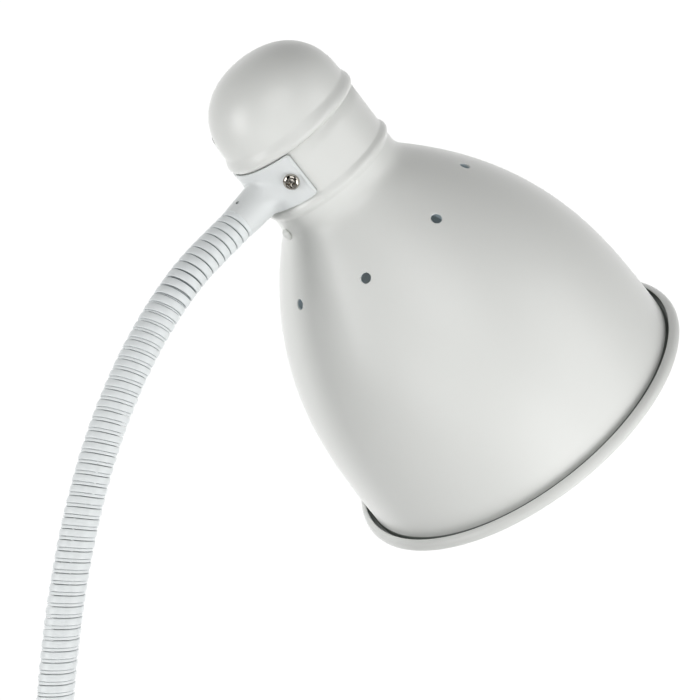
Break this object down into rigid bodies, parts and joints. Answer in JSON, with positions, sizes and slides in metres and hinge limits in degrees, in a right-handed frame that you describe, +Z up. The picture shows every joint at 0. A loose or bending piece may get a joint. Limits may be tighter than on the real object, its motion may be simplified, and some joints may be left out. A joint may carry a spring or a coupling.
{
  "type": "clip on reading lamp",
  "caption": "Clip-on reading lamp: bell-shaped spun metal shade on a wound gooseneck, held by a sprung clip with rubber pads.",
  "frame": {"origin": "centre of the upper jaw pad's underside, where the held board's top lies", "axes": "+Z up, +X from the clip towards the lamp head, Y along the clip's hinge pin"},
  "size_m": [0.3123, 0.146, 0.4313],
  "materials": {
    "shade_paint": "semi-gloss powder coat",
    "clip_paint": "semi-gloss powder coat",
    "bracket_paint": "semi-gloss powder coat",
    "hose_paint": "satin powder coat on wound steel",
    "pad_rubber": "matt moulded rubber",
    "grip_vinyl": "soft dipped vinyl",
    "zinc_steel": "zinc plated",
    "nickel_screws": "bright nickel plate",
    "brass_parts": "plain drawn brass",
    "black_plastic": "moulded phenolic",
    "lead_insulation": "extruded insulation",
    "bulb_diffuser": "frosted diffuser",
    "bulb_plastic": "moulded heat-sink housing",
    "bulb_nickel": "rolled nickel cap"
  },
  "bodies": {
    "root": {"upper_jaw": "clip_paint", "upper_pad": "pad_rubber", "upper_grip": "grip_vinyl", "pivot_pin": "zinc_steel", "pin_clip": "zinc_steel", "torsion_spring": "zinc_steel", "base_collar": "clip_paint", "base_screw": "zinc_steel", "base_washer": "zinc_steel", "base_grub_screw": "zinc_steel", "cord_grommet": "pad_rubber", "hose_bottom_fitting": "bracket_paint", "hose_segment_0": "hose_paint"},
    "lower_jaw": {"lower_jaw": "clip_paint", "lower_pad": "pad_rubber", "lower_grip": "grip_vinyl"},
    "neck_1": {"hose_segment_1": "hose_paint"},
    "neck_2": {"hose_segment_2": "hose_paint"},
    "neck_3": {"hose_segment_3": "hose_paint"},
    "neck_4": {"hose_segment_4": "hose_paint"},
    "neck_5": {"hose_segment_5": "hose_paint"},
    "neck_6": {"hose_segment_6": "hose_paint"},
    "neck_7": {"hose_segment_7": "hose_paint"},
    "neck_8": {"hose_segment_8": "hose_paint"},
    "neck_9": {"hose_segment_9": "hose_paint"},
    "head": {"hose_segment_10": "hose_paint", "hose_top_fitting": "bracket_paint", "neck_bracket": "bracket_paint", "bracket_screws": "nickel_screws", "boss_grub_screw": "zinc_steel", "shade": "shade_paint", "shade_plug": "shade_paint", "rear_cap": "shade_paint", "socket_bridge": "zinc_steel", "holder_nipple": "brass_parts", "holder_washer": "zinc_steel", "holder_nut": "brass_parts", "holder_cap": "black_plastic", "holder_body": "black_plastic", "holder_shell": "brass_parts", "holder_contact": "brass_parts", "terminal_screws": "brass_parts", "switch_body": "black_plastic", "switch_nut": "zinc_steel", "lead_wires": "lead_insulation"},
    "button": {"switch_button": "black_plastic"},
    "bulb": {"bulb_globe": "bulb_diffuser", "bulb_housing": "bulb_plastic", "bulb_cap": "bulb_nickel", "bulb_insulator": "black_plastic", "bulb_contact": "brass_parts"}
  },
  "joints": [
    {"name": "jaw_hinge", "type": "hinge", "parent": "root", "child": "lower_jaw", "pos_m": [-0.042, 0, -0.0025], "axis": [0, 1, 0], "range_deg": [0, 34], "stiffness_Nm_per_rad": 1, "springref_deg": -68.75, "deforming": ["torsion_spring"]},
    {"name": "neck_lower_bend", "type": "hinge", "parent": "root", "child": "neck_1", "pos_m": [-0.025, 0, 0.064], "axis": [0, 1, 0], "range_deg": [-12, 12]},
    {"name": "neck_side_bend", "type": "hinge", "parent": "neck_1", "child": "neck_2", "pos_m": [-0.02499, 0, 0.092], "axis": [1, 0, -0.0076], "range_deg": [-12, 12]},
    {"name": "neck_bend_3", "type": "hinge", "parent": "neck_2", "child": "neck_3", "pos_m": [-0.02478, 0, 0.12], "axis": [0, 1, 0], "range_deg": [-12, 12]},
    {"name": "neck_bend_4", "type": "hinge", "parent": "neck_3", "child": "neck_4", "pos_m": [-0.02396, 0, 0.14799], "axis": [0.9976, 0, -0.069], "range_deg": [-12, 12]},
    {"name": "neck_bend_5", "type": "hinge", "parent": "neck_4", "child": "neck_5", "pos_m": [-0.02202, 0, 0.17592], "axis": [0, 1, 0], "range_deg": [-12, 12]},
    {"name": "neck_bend_6", "type": "hinge", "parent": "neck_5", "child": "neck_6", "pos_m": [-0.01843, 0, 0.20369], "axis": [0.9778, 0, -0.2095], "range_deg": [-12, 12]},
    {"name": "neck_upper_bend", "type": "hinge", "parent": "neck_6", "child": "neck_7", "pos_m": [-0.01256, 0, 0.23107], "axis": [0, 1, 0], "range_deg": [-15, 13]},
    {"name": "neck_upper_side_bend", "type": "hinge", "parent": "neck_7", "child": "neck_8", "pos_m": [-0.00383, 0, 0.25767], "axis": [0.9011, 0, -0.4337], "range_deg": [-12, 12]},
    {"name": "neck_bend_9", "type": "hinge", "parent": "neck_8", "child": "neck_9", "pos_m": [0.00831, 0, 0.2829], "axis": [0, 1, 0], "range_deg": [-15, 13]},
    {"name": "neck_bend_10", "type": "hinge", "parent": "neck_9", "child": "head", "pos_m": [0.02428, 0, 0.3059], "axis": [0.7015, 0, -0.7126], "range_deg": [-12, 12]},
    {"name": "switch_press", "type": "slide", "parent": "head", "child": "button", "axis": [0.367, -0.8572, 0.3613], "range_m": [0, 0.0018], "stiffness_N_per_m": 500, "springref_m": -0.001},
    {"name": "bulb_turn", "type": "hinge", "parent": "head", "child": "bulb", "pos_m": [0.12473, 0, 0.30136], "axis": [-0.7015, 0, 0.7126], "continuous": true}
  ],
  "couplings": [
    {"joint": "neck_bend_3", "follows": "neck_lower_bend", "ratio": 1},
    {"joint": "neck_bend_4", "follows": "neck_side_bend", "ratio": 1},
    {"joint": "neck_bend_5", "follows": "neck_lower_bend", "ratio": 1},
    {"joint": "neck_bend_6", "follows": "neck_side_bend", "ratio": 1},
    {"joint": "neck_bend_9", "follows": "neck_upper_bend", "ratio": 1},
    {"joint": "neck_bend_10", "follows": "neck_upper_side_bend", "ratio": 1}
  ]
}
